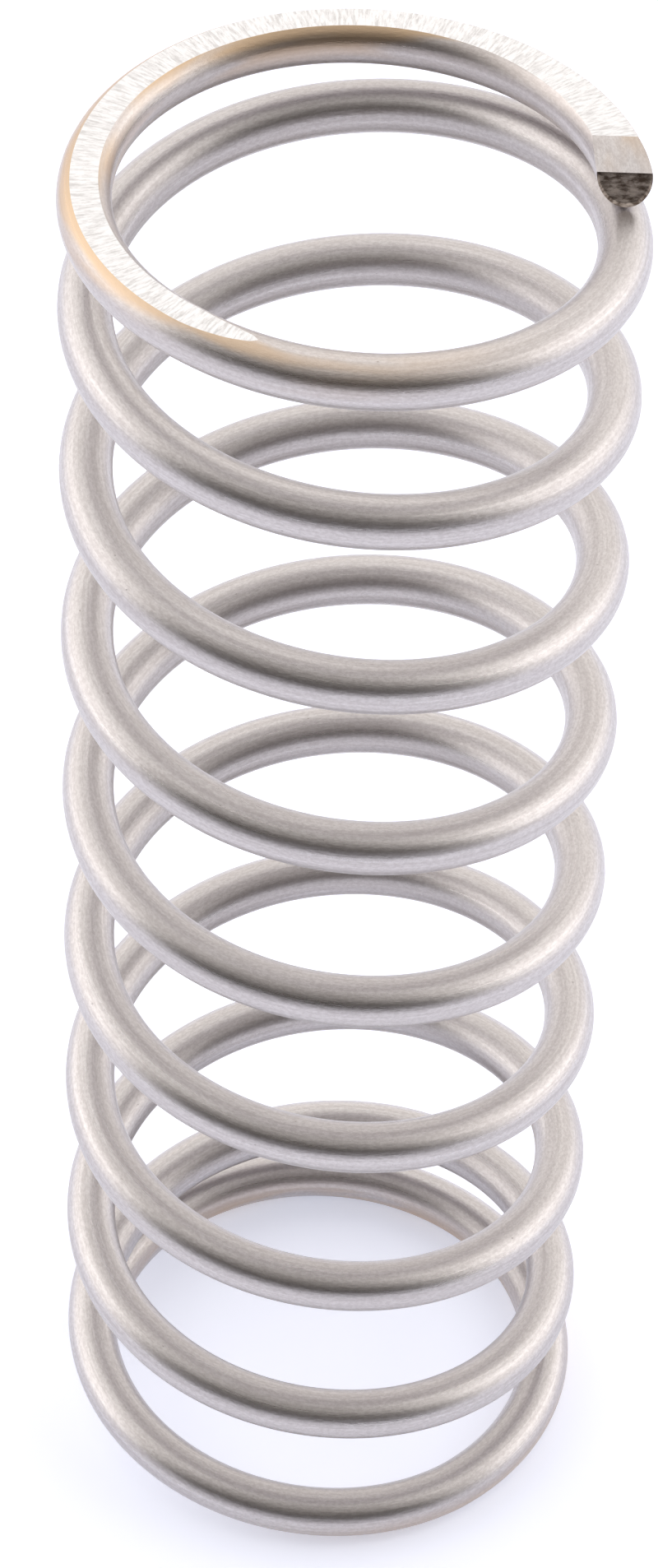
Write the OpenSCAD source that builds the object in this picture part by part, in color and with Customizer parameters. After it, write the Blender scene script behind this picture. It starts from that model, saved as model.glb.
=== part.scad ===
// Left-hand compression spring: one round wire with closed and ground ends.
// Origin: centre of the lower ground face. +Z: up along the coil axis. +X: the side of the upper wire tip.
// The wire is divided into stretches, so that each one can follow the coil as it is squeezed.

/* [Wire] */
// Diameter of the wire
wire_d = 2.8; // [2.4:0.1:3.4]

/* [Coil] */
// Outside diameter of the coils
outside_d = 30; // [25:0.5:36]
// Length of the unloaded spring between its two ground faces
free_length = 89; // [75:1:107]

/* [Ends] */
// Depth ground away from the wire along the seat
seat_cut = 0.2; // [0.1:0.05:0.4]
// Depth ground away from the wire at each tip
tip_cut = 0.7; // [0.5:0.05:1]
// Turns over which the grinding runs out from the tip to the seat
tip_turns = 0.25; // [0.2:0.05:0.3]
// Turns at each end that lie level before the pitch opens
flat_turns = 0.65; // [0.55:0.05:0.7]
// Turns over which the pitch opens to its full value
opening_turns = 1.8; // [1.5:0.1:2.1]
// Clearance between each wire tip and the turn that it closes on
tip_gap = 0.05; // [0.03:0.01:0.1]

/* [Stretches] */
// Clearance between the faces of two neighbouring stretches
face_gap = 0.02; // [0.01:0.01:0.05]

/* [Hidden] */
NODES = [
    "bottom_end_coil",
    "coil_1_back", "coil_1_right", "coil_1_front",
    "coil_2_left", "coil_2_back", "coil_2_right", "coil_2_front",
    "coil_3_left", "coil_3_back", "coil_3_right", "coil_3_front",
    "coil_4_left", "coil_4_back", "coil_4_right", "coil_4_front",
    "coil_5_left", "coil_5_back", "coil_5_right", "coil_5_front",
    "coil_6_left", "coil_6_back", "coil_6_right", "coil_6_front",
    "coil_7_left", "coil_7_back", "coil_7_right", "coil_7_front",
    "coil_8_left", "coil_8_back",
    "top_end_coil",
];

// Turns of wire from tip to tip, and the share of a turn in one stretch
coils = 9.5;
quarter = 0.25;
// Each end coil is a full turn and half of a quarter, so that every cut lies between two sides
end_turns = 1 + quarter / 2;

wire_r = wire_d / 2;
outer_r = outside_d / 2;

// Height of the wire's centre along the lower seat, and how much lower it is at the tip: the ground face is at z = 0
seat_height = wire_r - seat_cut;
tip_drop = tip_cut - seat_cut;
centre_rise = free_length - 2 * seat_height;
full_turns = flat_turns + opening_turns;
// Rise of the centre from the seat over the first turn, which leaves the tip just clear of the turn above
closed_rise = wire_d + tip_gap - tip_drop;

// The pitch opens as a power of the turns after the level stretch
function full_pitch(power) = centre_rise / (coils - 2 * full_turns + 2 * opening_turns / (power + 1));
function first_turn_rise(power) =
    full_pitch(power) * opening_turns / (power + 1) * pow((1 - flat_turns) / opening_turns, power + 1);
// Halving the interval finds the power that gives the closed rise
function opening_power(low, high, steps) =
    let (middle = (low + high) / 2)
    steps == 0 ? middle
    : first_turn_rise(middle) > closed_rise ? opening_power(middle, high, steps - 1)
    : opening_power(low, middle, steps - 1);

power = opening_power(0, 3, 30);
pitch = full_pitch(power);

// Rise of the wire's centre from the seat, and its height and direction at a number of turns from the lower tip
function climb(turns) =
    turns < tip_turns ? -tip_drop * pow(1 - turns / tip_turns, 2)
    : turns <= flat_turns ? 0
    : turns < full_turns
    ? pitch * opening_turns / (power + 1) * pow((turns - flat_turns) / opening_turns, power + 1)
    : pitch * (opening_turns / (power + 1) + turns - full_turns);
function height(turns) =
    turns <= coils / 2 ? seat_height + climb(turns) : free_length - seat_height - climb(coils - turns);
function azimuth(turns) = 180 - 360 * turns;

// The ends of a stretch lie at this radius, a little inside its middle, which reaches the outside diameter
centre_r = sqrt(pow(outer_r - wire_r, 2) - pow(pitch * quarter / 2, 2));

steel = "silver";
wire_facets = 48;
turn_facets = 144;
// Rings in an end coil and points in each ring
end_rings = 45;
ring_points = 18;
// A ring of flat sides is a little wider than the wire, so that it holds the same section
ring_r = wire_r * sqrt(2 * PI / ring_points / sin(360 / ring_points));

// A tilted ring of wire through both ends of a stretch, cut by the two upright planes through them
module stretch(start) {
    half = 180 * quarter;
    low = height(start);
    high = height(start + quarter);
    ring_centre_r = sqrt(pow(centre_r, 2) + pow((high - low) / 2, 2));
    tilt = atan((high - low) / 2 / (centre_r * sin(half)));
    overrun = 3;
    reach = acos(centre_r * cos(half) / ring_centre_r) + overrun;
    apex = face_gap / 2 / sin(half);
    far = 2 * outside_d;
    color(steel)
        translate([0, 0, (low + high) / 2])
            rotate([0, 0, azimuth(start + quarter / 2)])
                intersection() {
                    rotate([-tilt, 0, 0])
                        rotate_extrude(angle = 2 * reach, start = -reach, $fn = turn_facets)
                            translate([ring_centre_r, 0]) circle(d = wire_d, $fn = wire_facets);
                    linear_extrude(height = outside_d, center = true)
                        polygon([
                            [apex, 0],
                            [apex + far * cos(half), -far * sin(half)],
                            [apex + far * cos(half), far * sin(half)],
                        ]);
                }
}

// One point on the wire's surface, at some turns from the tip and an angle round the section
function surface_point(turns, round) =
    let (
        step = 0.001,
        slope = atan((climb(turns + step) - climb(turns)) / (2 * PI * centre_r * step)),
        radius = centre_r + ring_r * cos(round)
    )
    [
        radius * cos(azimuth(turns)),
        radius * sin(azimuth(turns)),
        seat_height + climb(turns) + ring_r * sin(round) / cos(slope),
    ];

// The wire of an end coil before grinding, swept ring by ring
module end_wire() {
    face_turns = face_gap / 2 / (2 * PI * centre_r);
    last = end_turns - face_turns;
    points = [
        for (ring = [0:end_rings], point = [0:ring_points - 1])
            surface_point(last * ring / end_rings, 360 * point / ring_points)
    ];
    sides = [
        for (ring = [0:end_rings - 1], point = [0:ring_points - 1])
            let (next = (point + 1) % ring_points, base = ring * ring_points)
            [base + point, base + next, base + ring_points + next, base + ring_points + point]
    ];
    tip_face = [for (point = [ring_points - 1:-1:0]) point];
    cut_face = [for (point = [0:ring_points - 1]) end_rings * ring_points + point];
    polyhedron(points, concat(sides, [tip_face, cut_face]), convexity = 4);
}

// The lower end coil: the grinding wheel takes away everything below z = 0
module end_coil() {
    color(steel)
        difference() {
            end_wire();
            translate([-outside_d, -outside_d, -wire_d])
                cube([2 * outside_d, 2 * outside_d, wire_d]);
        }
}

// Both ends are alike: the upper one is the lower one turned over about the Y axis
module top_end_coil() {
    translate([0, 0, free_length]) rotate([0, 180, 0]) end_coil();
}

end_coil();  // bottom_end_coil
// The stretches follow one another up the wire in the order of their names
for (place = [1:len(NODES) - 2])
    stretch(end_turns + (place - 1) * quarter);
top_end_coil();
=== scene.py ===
"""Looks of a left-hand compression spring coiled from round drawn steel wire.

The spring is one length of wire with closed, ground ends. It is drawn here as one
unbroken wire: many short pieces that meet face to face, each of which moves with the
squeeze by its own share, so that the whole coil opens and closes evenly.
"""

from __future__ import annotations

import logging
import math
from dataclasses import dataclass, field
from enum import Enum
from functools import cached_property

import bmesh
import bpy
from mathutils import Matrix, Vector
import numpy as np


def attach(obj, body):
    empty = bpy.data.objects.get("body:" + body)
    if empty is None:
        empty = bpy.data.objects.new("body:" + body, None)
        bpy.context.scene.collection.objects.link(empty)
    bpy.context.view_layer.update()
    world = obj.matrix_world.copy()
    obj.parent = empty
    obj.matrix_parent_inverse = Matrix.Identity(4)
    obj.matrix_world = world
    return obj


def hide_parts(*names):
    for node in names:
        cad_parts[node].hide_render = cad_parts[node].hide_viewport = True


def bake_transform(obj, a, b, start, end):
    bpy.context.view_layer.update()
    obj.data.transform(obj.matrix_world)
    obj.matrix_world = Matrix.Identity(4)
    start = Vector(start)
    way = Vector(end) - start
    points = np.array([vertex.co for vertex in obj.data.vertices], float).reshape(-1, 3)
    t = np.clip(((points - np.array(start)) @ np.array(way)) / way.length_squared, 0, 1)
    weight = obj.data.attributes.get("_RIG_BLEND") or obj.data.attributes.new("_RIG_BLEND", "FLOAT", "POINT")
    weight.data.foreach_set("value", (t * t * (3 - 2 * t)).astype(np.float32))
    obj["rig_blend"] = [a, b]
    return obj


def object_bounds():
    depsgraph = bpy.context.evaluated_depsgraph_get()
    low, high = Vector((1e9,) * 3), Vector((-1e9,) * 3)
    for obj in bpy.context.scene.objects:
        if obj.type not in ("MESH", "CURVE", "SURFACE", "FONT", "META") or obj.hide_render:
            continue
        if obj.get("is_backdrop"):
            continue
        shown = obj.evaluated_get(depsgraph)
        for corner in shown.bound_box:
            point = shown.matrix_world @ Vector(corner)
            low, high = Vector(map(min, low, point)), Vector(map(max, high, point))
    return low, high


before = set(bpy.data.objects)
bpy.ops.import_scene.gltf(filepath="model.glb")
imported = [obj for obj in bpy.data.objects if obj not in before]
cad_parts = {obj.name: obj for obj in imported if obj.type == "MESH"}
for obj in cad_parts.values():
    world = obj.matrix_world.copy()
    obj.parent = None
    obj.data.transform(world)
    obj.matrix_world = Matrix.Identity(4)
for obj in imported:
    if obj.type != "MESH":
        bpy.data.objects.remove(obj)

log = logging.getLogger("spring")
MM = 0.001

Pair = tuple[float, float]
Triple = tuple[float, float, float]


class End(Enum):
    """The two ends of the spring."""

    LOWER = "bottom_end_coil"
    UPPER = "top_end_coil"


class Skin(Enum):
    """The finishes that one wire piece can wear, in slot order."""

    DRAWN = 0
    GROUND = 1
    SHEARED = 2


@dataclass(frozen=True)
class SpringShape:
    """Sizes of the coiled wire, and the line that its centre follows.

    Turns are counted along the wire from the lower tip. Lengths are in metres.
    """

    outside_d: float
    free_length: float
    wire_d: float = 2.8 * MM
    seat_cut: float = 0.2 * MM
    tip_cut: float = 0.7 * MM
    tip_turns: float = 0.25
    tip_gap: float = 0.05 * MM
    flat_turns: float = 0.65
    opening_turns: float = 1.8
    turns: float = 9.5
    still_turns: float = 1.0
    steepest_opening: float = 3.0
    halvings: int = 60

    @property
    def wire_r(self) -> float:
        """Radius of the wire."""
        return self.wire_d / 2

    @property
    def coil_r(self) -> float:
        """Radius of the line through the middle of the wire."""
        return self.outside_d / 2 - self.wire_r

    @property
    def seat_height(self) -> float:
        """Height of the wire's middle along the seat, above the ground face."""
        return self.wire_r - self.seat_cut

    @property
    def tip_drop(self) -> float:
        """How much nearer the ground face the wire's middle is at the tip."""
        return self.tip_cut - self.seat_cut

    @property
    def full_turns(self) -> float:
        """Turns from a tip to where the pitch is full."""
        return self.flat_turns + self.opening_turns

    def pitch_for(self, power: float) -> float:
        """Full pitch that reaches the free length.

        Args:
            power: How sharply the pitch opens after the flat turns.

        Returns:
            The pitch in metres a turn.
        """
        rise = self.free_length - 2 * self.seat_height
        open_turns = self.turns - 2 * self.full_turns
        return rise / (open_turns + 2 * self.opening_turns / (power + 1))

    @cached_property
    def power(self) -> float:
        """The opening power that closes the first turn onto the tip, with its gap."""
        closed_rise = self.wire_d + self.tip_gap - self.tip_drop
        share = (1 - self.flat_turns) / self.opening_turns
        low, high = 0.0, self.steepest_opening
        for _ in range(self.halvings):
            middle = (low + high) / 2
            rise = self.pitch_for(middle) * self.opening_turns / (middle + 1)
            if rise * share ** (middle + 1) > closed_rise:
                low = middle
            else:
                high = middle
        return (low + high) / 2

    @cached_property
    def pitch(self) -> float:
        """Full pitch of the open turns."""
        return self.pitch_for(self.power)

    def climb(self, turns: float) -> float:
        """Rise of the wire's middle from the seat, this many turns from the tip."""
        opening = self.opening_turns / (self.power + 1)
        if turns < self.tip_turns:
            return -self.tip_drop * (1 - turns / self.tip_turns) ** 2
        if turns <= self.flat_turns:
            return 0.0
        if turns < self.full_turns:
            part = (turns - self.flat_turns) / self.opening_turns
            return self.pitch * opening * part ** (self.power + 1)
        return self.pitch * (opening + turns - self.full_turns)

    def height(self, turns: float) -> float:
        """Height of the wire's middle at a place along the wire."""
        if turns <= self.turns / 2:
            return self.seat_height + self.climb(turns)
        return self.free_length - self.seat_height - self.climb(self.turns - turns)

    def middle(self, turns: float) -> Vector:
        """The middle of the wire at a place along it."""
        azimuth = math.pi - 2 * math.pi * turns
        return Vector(
            (
                self.coil_r * math.cos(azimuth),
                self.coil_r * math.sin(azimuth),
                self.height(turns),
            )
        )

    def place(self, turns: float) -> Matrix:
        """Turns a section drawn flat into its place on the wire.

        Args:
            turns: Where along the wire the section sits.

        Returns:
            A matrix that takes X outwards from the coil, Y up and Z along the wire.
        """
        step = 1e-4
        along = (self.middle(turns + step) - self.middle(turns - step)).normalized()
        spot = self.middle(turns)
        outwards = Vector((spot.x, spot.y, 0)).normalized()
        outwards = (outwards - along * outwards.dot(along)).normalized()
        upwards = along.cross(outwards)
        axes = Matrix((outwards, upwards, along)).transposed().to_4x4()
        return Matrix.Translation(spot) @ axes

    def share(self, turns: float) -> float:
        """Part of the squeeze that a place on the wire moves by, from 0 to 1."""
        free = self.turns - 2 * self.still_turns
        return min(max((turns - self.still_turns) / free, 0.0), 1.0)

    def run(self, turns: float) -> float:
        """Length of wire from the lower tip to a place, in metres."""
        return turns * 2 * math.pi * self.coil_r


class Graph:
    """A short way to add and join the nodes of one shader tree."""

    def __init__(self, tree: bpy.types.NodeTree) -> None:
        """Starts on an emptied tree."""
        self.tree = tree
        tree.nodes.clear()

    def add(self, kind: str, **settings: object) -> bpy.types.Node:
        """Adds a node.

        Args:
            kind: Blender's name of the node type.
            **settings: Node properties to set.

        Returns:
            The new node.
        """
        node = self.tree.nodes.new(kind)
        for name, value in settings.items():
            setattr(node, name, value)
        return node

    def join(self, source: bpy.types.NodeSocket, target: bpy.types.NodeSocket) -> None:
        """Links an output to an input."""
        self.tree.links.new(source, target)

    def feed(
        self, value: bpy.types.NodeSocket | Triple | float, target: bpy.types.NodeSocket
    ) -> None:
        """Links a socket to an input, or sets the input to a colour or a number."""
        if isinstance(value, tuple):
            target.default_value = (*value, 1.0)
        elif isinstance(value, (int, float)):
            target.default_value = value
        else:
            self.join(value, target)

    def read(self, name: str) -> bpy.types.Node:
        """Reads an attribute of the mesh."""
        return self.add("ShaderNodeAttribute", attribute_name=name)

    def maths(
        self,
        operation: str,
        first: bpy.types.NodeSocket | float,
        second: bpy.types.NodeSocket | float = 0.0,
        clamp: bool = False,
    ) -> bpy.types.NodeSocket:
        """One step of arithmetic.

        Args:
            operation: Blender's name of the sum.
            first: First input, a socket or a number.
            second: Second input, a socket or a number.
            clamp: Whether to hold the answer between 0 and 1.

        Returns:
            The answer's socket.
        """
        node = self.add("ShaderNodeMath", operation=operation, use_clamp=clamp)
        self.feed(first, node.inputs[0])
        self.feed(second, node.inputs[1])
        return node.outputs[0]

    def stretched(
        self, vector: bpy.types.NodeSocket, scale: Triple
    ) -> bpy.types.NodeSocket:
        """A coordinate with each axis scaled."""
        node = self.add("ShaderNodeMapping")
        node.inputs["Scale"].default_value = scale
        self.join(vector, node.inputs["Vector"])
        return node.outputs[0]

    def noise(
        self, vector: bpy.types.NodeSocket, detail: float = 3.0, rough: float = 0.55
    ) -> bpy.types.NodeSocket:
        """Soft noise at a scale of one."""
        node = self.add("ShaderNodeTexNoise")
        node.inputs["Scale"].default_value = 1.0
        node.inputs["Detail"].default_value = detail
        node.inputs["Roughness"].default_value = rough
        self.join(vector, node.inputs["Vector"])
        return node.outputs["Fac"]

    def ranged(
        self,
        value: bpy.types.NodeSocket,
        before: Pair,
        after: Pair = (0.0, 1.0),
    ) -> bpy.types.NodeSocket:
        """A value moved from one range to another, smoothly and clamped."""
        node = self.add("ShaderNodeMapRange", interpolation_type="SMOOTHSTEP")
        for place, number in enumerate((*before, *after), start=1):
            node.inputs[place].default_value = number
        self.join(value, node.inputs[0])
        return node.outputs[0]

    def blended(
        self,
        amount: bpy.types.NodeSocket,
        first: bpy.types.NodeSocket | Triple,
        second: bpy.types.NodeSocket | Triple,
    ) -> bpy.types.NodeSocket:
        """Mixes two colours.

        Args:
            amount: How much of the second colour shows.
            first: A colour or a socket.
            second: A colour or a socket.

        Returns:
            The mixed colour's socket.
        """
        node = self.add("ShaderNodeMix", data_type="RGBA")
        self.join(amount, node.inputs["Factor"])
        self.feed(first, node.inputs[6])
        self.feed(second, node.inputs[7])
        return node.outputs[2]

    def bump(
        self,
        height: bpy.types.NodeSocket,
        depth: float,
        strength: float,
        under: bpy.types.NodeSocket | None = None,
    ) -> bpy.types.NodeSocket:
        """Fine relief on a surface.

        Args:
            height: The relief, from 0 to 1.
            depth: How deep it is, in metres.
            strength: How strongly it shows.
            under: A coarser relief below this one.

        Returns:
            The normal's socket.
        """
        node = self.add("ShaderNodeBump")
        node.inputs["Strength"].default_value = strength
        node.inputs["Distance"].default_value = depth
        self.join(height, node.inputs["Height"])
        if under is not None:
            self.join(under, node.inputs["Normal"])
        return node.outputs[0]

    def metal(
        self,
        colour: bpy.types.NodeSocket,
        rough: bpy.types.NodeSocket | float,
        relief: bpy.types.NodeSocket,
    ) -> None:
        """Ends the tree in bare metal.

        Args:
            colour: Its colour.
            rough: Its roughness, a socket or a number.
            relief: The normal of its fine relief.
        """
        steel = self.add("ShaderNodeBsdfPrincipled")
        steel.inputs["Metallic"].default_value = 1.0
        self.join(colour, steel.inputs["Base Color"])
        self.feed(rough, steel.inputs["Roughness"])
        self.join(relief, steel.inputs["Normal"])
        self.join(steel.outputs[0], self.add("ShaderNodeOutputMaterial").inputs[0])


def surface(name: str) -> tuple[bpy.types.Material, Graph]:
    """Makes a material, and the graph of its empty node tree."""
    made = bpy.data.materials.new(name)
    made.use_nodes = True
    return made, Graph(made.node_tree)


@dataclass(frozen=True)
class DrawnSteel:
    """Satin drawn wire: fine lines along it, small pits and a tint by the grinding.

    The cloud's scale is per metre. The others are per millimetre along the wire and
    per wire radius across it. Depths are in metres.
    """

    pale: Triple = (0.640, 0.608, 0.600)
    dull: Triple = (0.495, 0.460, 0.452)
    gold: Triple = (0.580, 0.425, 0.285)
    pit: Triple = (0.200, 0.175, 0.155)
    line_scale: Triple = (0.05, 7.0, 7.0)
    hair_scale: Triple = (0.16, 26.0, 26.0)
    grain_scale: Triple = (3.6, 11.0, 11.0)
    patch_scale: Triple = (0.085, 0.8, 0.8)
    pit_scale: Triple = (1.15, 2.2, 2.2)
    cloud_scale: Triple = (210.0, 210.0, 210.0)
    line_share: float = 0.45
    speckle_share: float = 0.60
    cloud_share: float = 0.20
    pit_share: float = 0.80
    faintest_tint: float = 0.10
    smooth: float = 0.235
    dulled: float = 0.330
    hair_rough: float = 0.07
    hair_depth: float = 0.020 * MM
    grain_depth: float = 0.030 * MM
    pit_depth: float = 0.030 * MM

    def material(self) -> bpy.types.Material:
        """Builds the material."""
        made, g = surface("drawn_steel_wire")
        wire = g.read("along_wire").outputs["Vector"]
        warmth = g.read("warmth").outputs["Fac"]
        body = g.add("ShaderNodeTexCoord").outputs["Object"]

        lines = g.noise(g.stretched(wire, self.line_scale), detail=4.0, rough=0.62)
        hair = g.noise(g.stretched(wire, self.hair_scale), detail=3.0, rough=0.6)
        cloud = g.noise(g.stretched(body, self.cloud_scale), detail=3.0, rough=0.5)
        grain = g.noise(g.stretched(wire, self.grain_scale), detail=5.0, rough=0.75)
        patch = g.noise(g.stretched(wire, self.patch_scale), detail=2.0, rough=0.5)

        worn = g.maths("MULTIPLY", g.ranged(lines, (0.34, 0.66)), self.line_share)
        speckle = g.ranged(grain, (0.40, 0.60), (0.0, self.speckle_share))
        worn = g.maths("ADD", worn, speckle)
        cloud = g.maths("MULTIPLY", cloud, self.cloud_share)
        worn = g.maths("ADD", worn, cloud, clamp=True)
        colour = g.blended(worn, self.pale, self.dull)

        spots = g.add("ShaderNodeTexVoronoi", feature="F1")
        spots.inputs["Scale"].default_value = 1.0
        g.join(g.stretched(wire, self.pit_scale), spots.inputs["Vector"])
        pits = g.ranged(spots.outputs["Distance"], (0.035, 0.085), (1.0, 0.0))
        pits = g.maths("MULTIPLY", pits, g.ranged(grain, (0.50, 0.62)))
        colour = g.blended(g.maths("MULTIPLY", pits, self.pit_share), colour, self.pit)

        tint = g.ranged(patch, (0.40, 0.58), (self.faintest_tint, 1.0))
        tint = g.maths("MULTIPLY", warmth, tint)
        colour = g.blended(tint, colour, self.gold)

        rough = g.ranged(lines, (0.30, 0.70), (self.smooth, self.dulled))
        rough = g.maths("ADD", rough, g.maths("MULTIPLY", hair, self.hair_rough))
        relief = g.bump(hair, self.hair_depth, strength=0.16)
        relief = g.bump(grain, self.grain_depth, strength=0.55, under=relief)
        unpitted = g.maths("SUBTRACT", 1.0, pits)
        relief = g.bump(unpitted, self.pit_depth, strength=0.45, under=relief)
        g.metal(colour, rough, relief)
        return made


@dataclass(frozen=True)
class GroundSteel:
    """A coarsely ground end face: bright, with short marks across the wire.

    The marks' scale is per millimetre along the wire and per wire radius across it,
    and the grit's is per metre. Depths are in metres.
    """

    bright: Triple = (0.880, 0.870, 0.872)
    shade: Triple = (0.640, 0.622, 0.615)
    mark_scale: Triple = (6.5, 1.5, 0.3)
    grit_scale: Triple = (3400.0, 3400.0, 3400.0)
    smooth: float = 0.38
    dulled: float = 0.56
    mark_depth: float = 0.050 * MM
    grit_depth: float = 0.025 * MM

    def material(self) -> bpy.types.Material:
        """Builds the material."""
        made, g = surface("ground_steel_face")
        wire = g.read("along_wire").outputs["Vector"]
        body = g.add("ShaderNodeTexCoord").outputs["Object"]

        marks = g.noise(g.stretched(wire, self.mark_scale), detail=5.0, rough=0.75)
        grit = g.noise(g.stretched(body, self.grit_scale), detail=3.0, rough=0.7)
        colour = g.blended(g.ranged(marks, (0.42, 0.66)), self.bright, self.shade)
        rough = g.ranged(grit, (0.30, 0.70), (self.smooth, self.dulled))
        relief = g.bump(marks, self.mark_depth, strength=0.55)
        relief = g.bump(grit, self.grit_depth, strength=0.45, under=relief)
        g.metal(colour, rough, relief)
        return made


@dataclass(frozen=True)
class ShearedSteel:
    """The torn, browned face where the wire was cut off. Its dark brown is partly the torn steel's own
    colour and partly painted shade, standing in for the shadow that the face lies in under the lip.

    The tear's scale is per metre, and its depth is in metres.
    """

    light: Triple = (0.540, 0.470, 0.420)
    # dark brown of the torn steel, deepened with painted shade for the shadow under the lip
    dark_brown_and_painted_shade: Triple = (0.110, 0.080, 0.062)
    tear_scale: Triple = (1500.0, 1500.0, 4200.0)
    tear_depth: float = 0.080 * MM
    roughness: float = 0.55

    def material(self) -> bpy.types.Material:
        """Builds the material."""
        made, g = surface("sheared_steel_tip")
        body = g.add("ShaderNodeTexCoord").outputs["Object"]
        torn = g.noise(g.stretched(body, self.tear_scale), detail=4.0, rough=0.65)
        # the torn steel's tones, mixed towards a dark that is partly painted shade
        colour = g.blended(g.ranged(torn, (0.35, 0.68)), self.dark_brown_and_painted_shade, self.light)
        relief = g.bump(torn, self.tear_depth, strength=0.7)
        g.metal(colour, self.roughness, relief)
        return made


@dataclass
class Finishes:
    """The wire's finishes, in the order of the slots on every piece."""

    drawn: DrawnSteel = field(default_factory=DrawnSteel)
    ground: GroundSteel = field(default_factory=GroundSteel)
    sheared: ShearedSteel = field(default_factory=ShearedSteel)

    def __post_init__(self) -> None:
        """Builds each material once."""
        self.made = {
            Skin.DRAWN: self.drawn.material(),
            Skin.GROUND: self.ground.material(),
            Skin.SHEARED: self.sheared.material(),
        }

    def dress(self, piece: bpy.types.Object, skins: tuple[Skin, ...]) -> None:
        """Gives a piece its material slots, in the order of the skins."""
        for skin in skins:
            piece.data.materials.append(self.made[skin])


@dataclass
class WirePiece:
    """One stretch of the wire between two places along it.

    Places and the lip are in turns, and the crisp edge is in degrees.
    """

    shape: SpringShape
    name: str
    low: float
    high: float
    sides: int = 36
    rings_per_turn: int = 160
    lip: float = 0.0005
    crisp_edge: float = 32.0

    def stations(self) -> list[float]:
        """Places of the sections along the wire, in turns.

        A section lies a hair inside each end, so that the shading of two pieces
        that meet agrees.

        Returns:
            The places from the low end to the high end.
        """
        count = max(2, round((self.high - self.low) * self.rings_per_turn))
        step = (self.high - self.low) / count
        inner = [self.low + step * place for place in range(1, count)]
        return [self.low, self.low + self.lip, *inner, self.high - self.lip, self.high]

    def swept(self) -> bmesh.types.BMesh:
        """Draws a round section along the wire.

        Returns:
            The closed mesh, with its place along the wire stored at each point.
        """
        shape = self.shape
        bm = bmesh.new()
        along = bm.verts.layers.float_vector.new("along_wire")
        bm.verts.layers.float.new("warmth")
        places = self.stations()
        bmesh.ops.create_circle(
            bm, cap_ends=True, radius=shape.wire_r, segments=self.sides
        )
        bmesh.ops.transform(bm, matrix=shape.place(places[0]), verts=bm.verts[:])
        ring = list(bm.edges)
        points = list(bm.verts)
        self.note(points, along, places[0])
        for before, after in zip(places, places[1:]):
            grown = bmesh.ops.extrude_edge_only(bm, edges=ring)["geom"]
            points = [g for g in grown if isinstance(g, bmesh.types.BMVert)]
            known = set(points)
            ring = [
                g
                for g in grown
                if isinstance(g, bmesh.types.BMEdge) and set(g.verts) <= known
            ]
            move = shape.place(after) @ shape.place(before).inverted()
            bmesh.ops.transform(bm, matrix=move, verts=points)
            self.note(points, along, after)
        bmesh.ops.contextual_create(bm, geom=ring)
        bmesh.ops.recalc_face_normals(bm, faces=bm.faces[:])
        return bm

    def note(
        self,
        points: list[bmesh.types.BMVert],
        along: bmesh.types.BMLayerItem,
        turns: float,
    ) -> None:
        """Stores where on the wire a section's points lie.

        Args:
            points: The section's points.
            along: The layer that takes the run in millimetres and the way round.
            turns: Where along the wire the section sits.
        """
        back = self.shape.place(turns).inverted()
        for point in points:
            local = back @ point.co
            point[along] = Vector(
                (
                    self.shape.run(turns) / MM,
                    local.x / self.shape.wire_r,
                    local.y / self.shape.wire_r,
                )
            )

    def finished(self, bm: bmesh.types.BMesh) -> bpy.types.Object:
        """Turns a mesh into a smooth-shaded object with crisp edges.

        Args:
            bm: The mesh, which is freed.

        Returns:
            The object, at the origin with its place in its mesh.
        """
        for face in bm.faces:
            face.smooth = True
        for edge in bm.edges:
            if len(edge.link_faces) == 2:
                edge.smooth = edge.calc_face_angle(0.0) < math.radians(self.crisp_edge)
        mesh = bpy.data.meshes.new(self.name)
        bm.to_mesh(mesh)
        bm.free()
        made = bpy.data.objects.new(self.name, mesh)
        bpy.context.scene.collection.objects.link(made)
        return made


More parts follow.
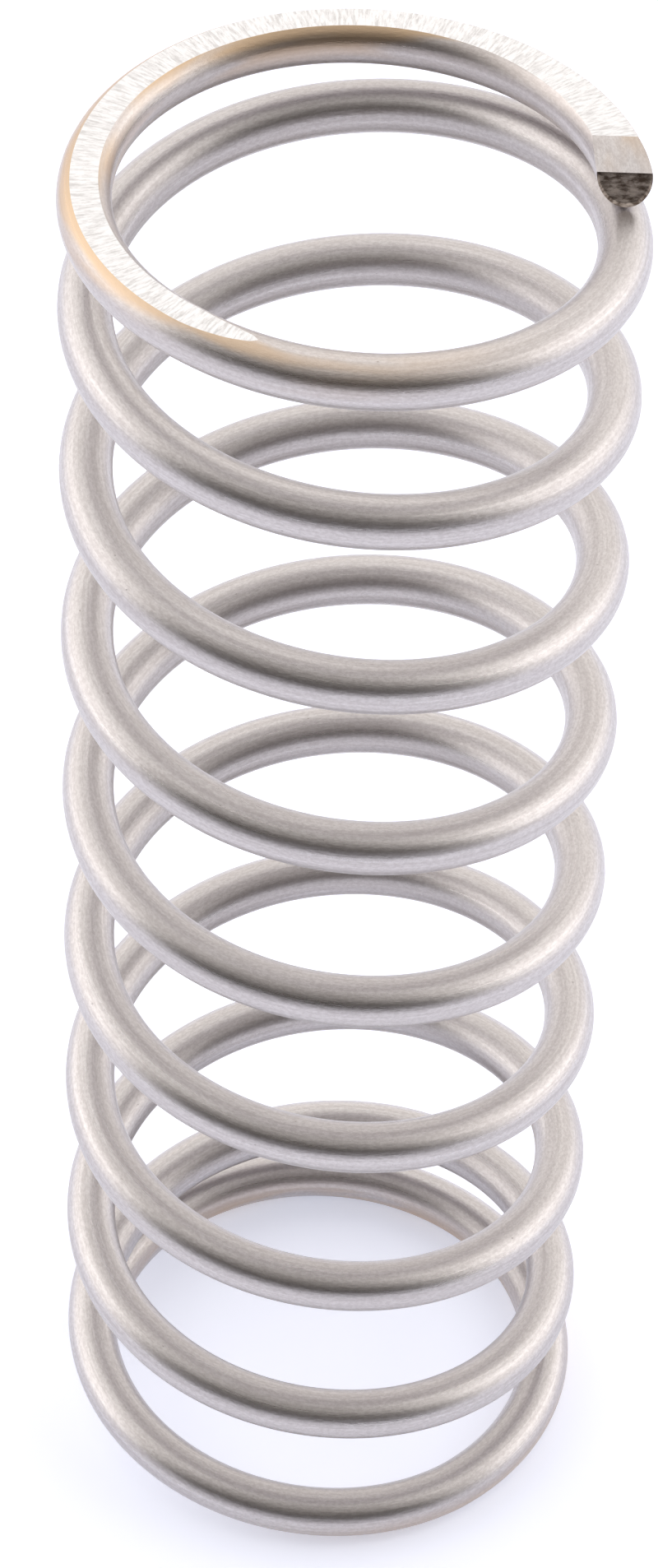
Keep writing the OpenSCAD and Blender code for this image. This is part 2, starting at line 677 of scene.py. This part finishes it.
@dataclass
class EndCoil(WirePiece):
    """A closed end coil, ground flat, with the wire's sheared tip.

    The tip zone and the cool tip are in turns from the tip, lengths are in metres
    and the lean and the slope are in degrees.
    """

    end: End = End.LOWER
    heat_reach: float = 2.30 * MM
    heat_turns: float = 0.95
    cool_tip: float = 0.10
    tip_zone: float = 0.07
    tip_bottom: float = 2.1 * MM
    tip_set_back: float = 1.20 * MM
    tip_lean: float = 30.0
    lip_reach: float = 3.7 * MM
    lip_slope: float = 18.0
    rim_width: float = 0.10 * MM
    hollow_depth: float = 0.16 * MM

    @property
    def plane(self) -> float:
        """Height of the ground face."""
        return 0.0 if self.end is End.LOWER else self.shape.free_length

    def from_tip(
        self, point: bmesh.types.BMVert, along: bmesh.types.BMLayerItem
    ) -> float:
        """Turns from this end's tip to a point."""
        turns = point[along].x * MM / self.shape.run(1.0)
        return turns if self.end is End.LOWER else self.shape.turns - turns

    def build(self) -> bpy.types.Object:
        """Builds the coil with its ground face and its tip.

        Returns:
            The finished object.
        """
        bm = self.swept()
        along = bm.verts.layers.float_vector["along_wire"]
        inside = Vector((0, 0, 1.0 if self.end is End.LOWER else -1.0))
        whole = bm.verts[:] + bm.edges[:] + bm.faces[:]
        self.trim(bm, whole, Vector((0, 0, self.plane)), inside, Skin.GROUND)
        self.shear(bm, along, inside)
        self.warm(bm, along)
        return self.finished(bm)

    def shear(
        self, bm: bmesh.types.BMesh, along: bmesh.types.BMLayerItem, inside: Vector
    ) -> None:
        """Gives the tip its leaning torn face, with a lip between it and the flat.

        Args:
            bm: The ground coil.
            along: The layer that holds the run along the wire.
            inside: The way from the ground face into the spring.
        """
        tip = 0.0 if self.end is End.LOWER else self.shape.turns
        inwards = self.shape.place(tip).to_3x3() @ Vector((0, 0, 1))
        inwards = inwards if self.end is End.LOWER else -inwards
        corner = self.shape.middle(tip)
        corner.z = self.plane

        foot = corner + inside * self.tip_bottom + inwards * self.tip_set_back
        lean = math.radians(self.tip_lean)
        keep = inwards * math.cos(lean) + inside * math.sin(lean)
        self.trim(bm, self.near_tip(bm, along), foot, keep, Skin.SHEARED)

        edge = corner + inwards * self.lip_reach
        slope = math.radians(self.lip_slope)
        keep = inside * math.cos(slope) + inwards * math.sin(slope)
        self.trim(bm, self.near_tip(bm, along), edge, keep, Skin.DRAWN)
        bmesh.ops.recalc_face_normals(bm, faces=bm.faces[:])
        torn = [f for f in bm.faces if f.material_index == Skin.SHEARED.value]
        self.hollow(bm, torn, inwards * self.hollow_depth)

    def near_tip(
        self, bm: bmesh.types.BMesh, along: bmesh.types.BMLayerItem
    ) -> list[object]:
        """Everything in the mesh that touches the last few millimetres of wire."""
        faces = [
            f
            for f in bm.faces
            if any(self.from_tip(v, along) < self.tip_zone for v in f.verts)
        ]
        edges = {e for f in faces for e in f.edges}
        verts = {v for f in faces for v in f.verts}
        return [*verts, *edges, *faces]

    @staticmethod
    def trim(
        bm: bmesh.types.BMesh,
        geom: list[object],
        spot: Vector,
        keep: Vector,
        skin: Skin,
    ) -> None:
        """Cuts a flat face and closes it.

        Args:
            bm: The mesh.
            geom: The part of the mesh that may be cut.
            spot: A point on the face.
            keep: The way that points into the wire.
            skin: The finish of the new face.
        """
        cut = bmesh.ops.bisect_plane(
            bm, geom=geom, plane_co=spot, plane_no=keep, clear_inner=True
        )
        rim = [g for g in cut["geom_cut"] if isinstance(g, bmesh.types.BMEdge)]
        filled = bmesh.ops.triangle_fill(bm, edges=rim, use_beauty=True)
        for face in filled["geom"]:
            if isinstance(face, bmesh.types.BMFace):
                face.material_index = skin.value

    def hollow(
        self, bm: bmesh.types.BMesh, faces: list[bmesh.types.BMFace], sink: Vector
    ) -> None:
        """Sinks the middle of the torn face and leaves a rim round it."""
        inset = bmesh.ops.inset_region(
            bm, faces=faces, thickness=self.rim_width, use_even_offset=True
        )
        for face in faces + inset["faces"]:
            face.material_index = Skin.SHEARED.value
        deeper = {v for f in faces for v in f.verts}
        bmesh.ops.translate(bm, vec=sink, verts=list(deeper))

    def warm(self, bm: bmesh.types.BMesh, along: bmesh.types.BMLayerItem) -> None:
        """Stores how strongly each point is tinted by the heat of grinding."""
        warmth = bm.verts.layers.float["warmth"]
        for point in bm.verts:
            away = abs(point.co.z - self.plane) / self.heat_reach
            turns = self.from_tip(point, along) / self.heat_turns
            near = max(0.0, 1.0 - away) * max(0.0, 1.0 - turns**4)
            near *= min(1.0, turns / self.cool_tip)
            point[warmth] = near * near * (3 - 2 * near)


@dataclass
class Coil:
    """The whole wire: two end coils and the free turns between them."""

    shape: SpringShape
    finishes: Finishes
    pieces_per_stretch: int = 4
    stretch_turns: float = 0.25

    def build(self) -> None:
        """Builds every piece, from the lower end up, and says how each moves."""
        self.end_coil(End.LOWER)
        self.free_turns()
        self.end_coil(End.UPPER)

    def end_coil(self, end: End) -> None:
        """Builds one end coil, which rides on its own body."""
        shape = self.shape
        low = 0.0 if end is End.LOWER else shape.turns - shape.still_turns
        coil = EndCoil(
            shape, f"{end.value}_wire", low, low + shape.still_turns, end=end
        )
        made = coil.build()
        self.finishes.dress(made, (Skin.DRAWN, Skin.GROUND, Skin.SHEARED))
        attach(made, end.value)
        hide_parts(end.value)
        log.info("%s: %d faces", made.name, len(made.data.polygons))

    def free_turns(self) -> None:
        """Builds the free turns in short pieces that flex with the squeeze."""
        shape = self.shape
        nodes = [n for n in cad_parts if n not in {e.value for e in End}]
        nodes.sort(key=self.order)
        step = self.stretch_turns / self.pieces_per_stretch
        count = round((shape.turns - 2 * shape.still_turns) / step)
        for place in range(count):
            low = shape.still_turns + place * step
            owner = self.owner(low + step / 2, nodes)
            name = f"{nodes[owner]}_wire_{place + 1:03d}"
            piece = WirePiece(shape, name, low, low + step)
            made = piece.finished(piece.swept())
            self.finishes.dress(made, (Skin.DRAWN,))
            self.flex(made, low, low + step)
            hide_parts(nodes[owner])
        log.info("free turns: %d pieces", count)

    @staticmethod
    def order(node: str) -> tuple[int, int]:
        """Sorts the CAD stretches from the lower end to the upper end."""
        coil, side = node.split("_")[1:]
        return int(coil), ("left", "back", "right", "front").index(side)

    def owner(self, turns: float, nodes: list[str]) -> int:
        """Which CAD stretch a place on the wire belongs to."""
        first = self.shape.still_turns + self.stretch_turns / 2
        place = int((turns - first) / self.stretch_turns)
        return min(max(place, 0), len(nodes) - 1)

    def flex(self, piece: bpy.types.Object, low: float, high: float) -> None:
        """Lets a piece move by its share of the squeeze, from one end to the other.

        Args:
            piece: The finished piece.
            low: Its low end, in turns.
            high: Its high end, in turns.
        """
        start, end = self.shape.middle(low), self.shape.middle(high)
        near, far = (self.ease(self.shape.share(t)) for t in (low, high))
        whole = (end - start) / (far - near)
        origin = start - whole * near
        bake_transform(piece, End.LOWER.value, End.UPPER.value, origin, origin + whole)

    @staticmethod
    def ease(share: float) -> float:
        """Where along a smooth blend a share of the motion is reached."""
        return 0.5 - math.sin(math.asin(1 - 2 * share) / 3)


@dataclass
class Studio:
    """A plain pale table, soft light and the camera.

    Lengths are in metres, angles in degrees, and the lens and sensor in millimetres.
    The spans say where along a sky axis each glow starts and where it is full.
    """

    aim: Triple = (-0.43 * MM, 0.0, 47.37 * MM)
    distance: float = 322.05 * MM
    elevation: float = 43.61
    roll: float = 1.82
    lens: float = 135.2
    sensor: float = 36.0
    clip: Pair = (0.01, 50.0)
    table_side: float = 6.0
    table_rough: float = 0.9
    table_shine: float = 0.1
    table_colour: Triple = (0.83, 0.84, 0.92)
    table_glow: Triple = (0.83, 0.87, 1.0)
    table_glow_strength: float = 0.43
    near_span: Pair = (-0.05, -0.62)
    side_span: Pair = (0.45, 0.90)
    low_span: Pair = (0.98, 0.50)
    top_span: Pair = (0.40, 0.92)
    rear_sky: Triple = (1.30, 1.26, 1.22)
    zenith_sky: Triple = (0.56, 0.54, 0.52)
    side_sky: Triple = (1.95, 1.91, 1.88)
    near_sky: Triple = (0.075, 0.066, 0.060)
    backdrop: Triple = (1.0, 1.0, 1.0)
    panel_spot: Triple = (-0.05, 0.25, 0.90)
    panel_side: float = 1.10
    panel_power: float = 2.2

    def build(self) -> None:
        """Sets up the table, the light and the camera."""
        self.table()
        self.sky()
        self.panel()
        self.camera()
        bpy.context.scene.view_settings.view_transform = "Standard"

    def table(self) -> None:
        """A wide, pale, faintly cool table."""
        bm = bmesh.new()
        bmesh.ops.create_grid(bm, x_segments=2, y_segments=2, size=self.table_side / 2)
        mesh = bpy.data.meshes.new("table")
        bm.to_mesh(mesh)
        bm.free()
        made = bpy.data.objects.new("table", mesh)
        bpy.context.scene.collection.objects.link(made)
        paint, g = surface("pale_table")
        top = g.add("ShaderNodeBsdfPrincipled")
        top.inputs["Base Color"].default_value = (*self.table_colour, 1.0)
        top.inputs["Roughness"].default_value = self.table_rough
        top.inputs["Specular IOR Level"].default_value = self.table_shine
        top.inputs["Emission Color"].default_value = (*self.table_glow, 1.0)
        top.inputs["Emission Strength"].default_value = self.table_glow_strength
        g.join(top.outputs[0], g.add("ShaderNodeOutputMaterial").inputs[0])
        mesh.materials.append(paint)
        made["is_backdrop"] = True

    def sky(self) -> None:
        """Soft light all round: bright behind and at the sides, dim in front."""
        world = bpy.data.worlds.new("studio")
        bpy.context.scene.world = world
        world.use_nodes = True
        g = Graph(world.node_tree)
        way = g.add("ShaderNodeTexCoord").outputs["Generated"]
        parts = g.add("ShaderNodeSeparateXYZ")
        g.join(way, parts.inputs[0])
        near = g.ranged(parts.outputs["Y"], self.near_span)
        aside = g.ranged(g.maths("ABSOLUTE", parts.outputs["X"]), self.side_span)
        low = g.ranged(parts.outputs["Z"], self.low_span)
        top = g.ranged(parts.outputs["Z"], self.top_span)
        glow = g.blended(top, self.rear_sky, self.zenith_sky)
        glow = g.blended(aside, glow, self.side_sky)
        glow = g.blended(g.maths("MULTIPLY", near, low), glow, self.near_sky)
        seen = g.add("ShaderNodeLightPath").outputs["Is Camera Ray"]
        colour = g.blended(seen, glow, self.backdrop)
        light = g.add("ShaderNodeBackground")
        g.join(colour, light.inputs["Color"])
        g.join(light.outputs[0], g.add("ShaderNodeOutputWorld").inputs[0])

    def panel(self) -> None:
        """A wide, faint, square panel overhead that looks at the spring."""
        data = bpy.data.lights.new("overhead_panel", "AREA")
        data.shape = "SQUARE"
        data.size = self.panel_side
        data.energy = self.panel_power
        made = bpy.data.objects.new("overhead_panel", data)
        made.location = self.panel_spot
        towards = Vector(self.aim) - Vector(self.panel_spot)
        made.rotation_euler = towards.to_track_quat("-Z", "Y").to_euler()
        bpy.context.scene.collection.objects.link(made)

    def camera(self) -> None:
        """The camera, level with the way the spring is looked at."""
        data = bpy.data.cameras.new("camera")
        data.lens = self.lens
        data.sensor_width = self.sensor
        data.clip_start, data.clip_end = self.clip
        made = bpy.data.objects.new("camera", data)
        tilt = math.radians(self.elevation)
        back = Vector((0, -math.cos(tilt), math.sin(tilt)))
        made.location = Vector(self.aim) + back * self.distance
        turn = (-back).to_track_quat("-Z", "Y").to_matrix()
        turn = turn @ Matrix.Rotation(math.radians(self.roll), 3, "Z")
        made.rotation_euler = turn.to_euler()
        bpy.context.scene.collection.objects.link(made)
        bpy.context.scene.camera = made


def main() -> None:
    """Builds the spring and the studio round it."""
    logging.basicConfig(level=logging.INFO, format="%(name)s: %(message)s")
    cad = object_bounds()
    low, high = cad
    shape = SpringShape(
        outside_d=round(high.x - low.x, 4), free_length=round(high.z - low.z, 4)
    )
    log.info("pitch %.3f mm, opening power %.4f", shape.pitch / MM, shape.power)
    Coil(shape, Finishes()).build()
    Studio().build()


if __name__ == "__main__":
    main()
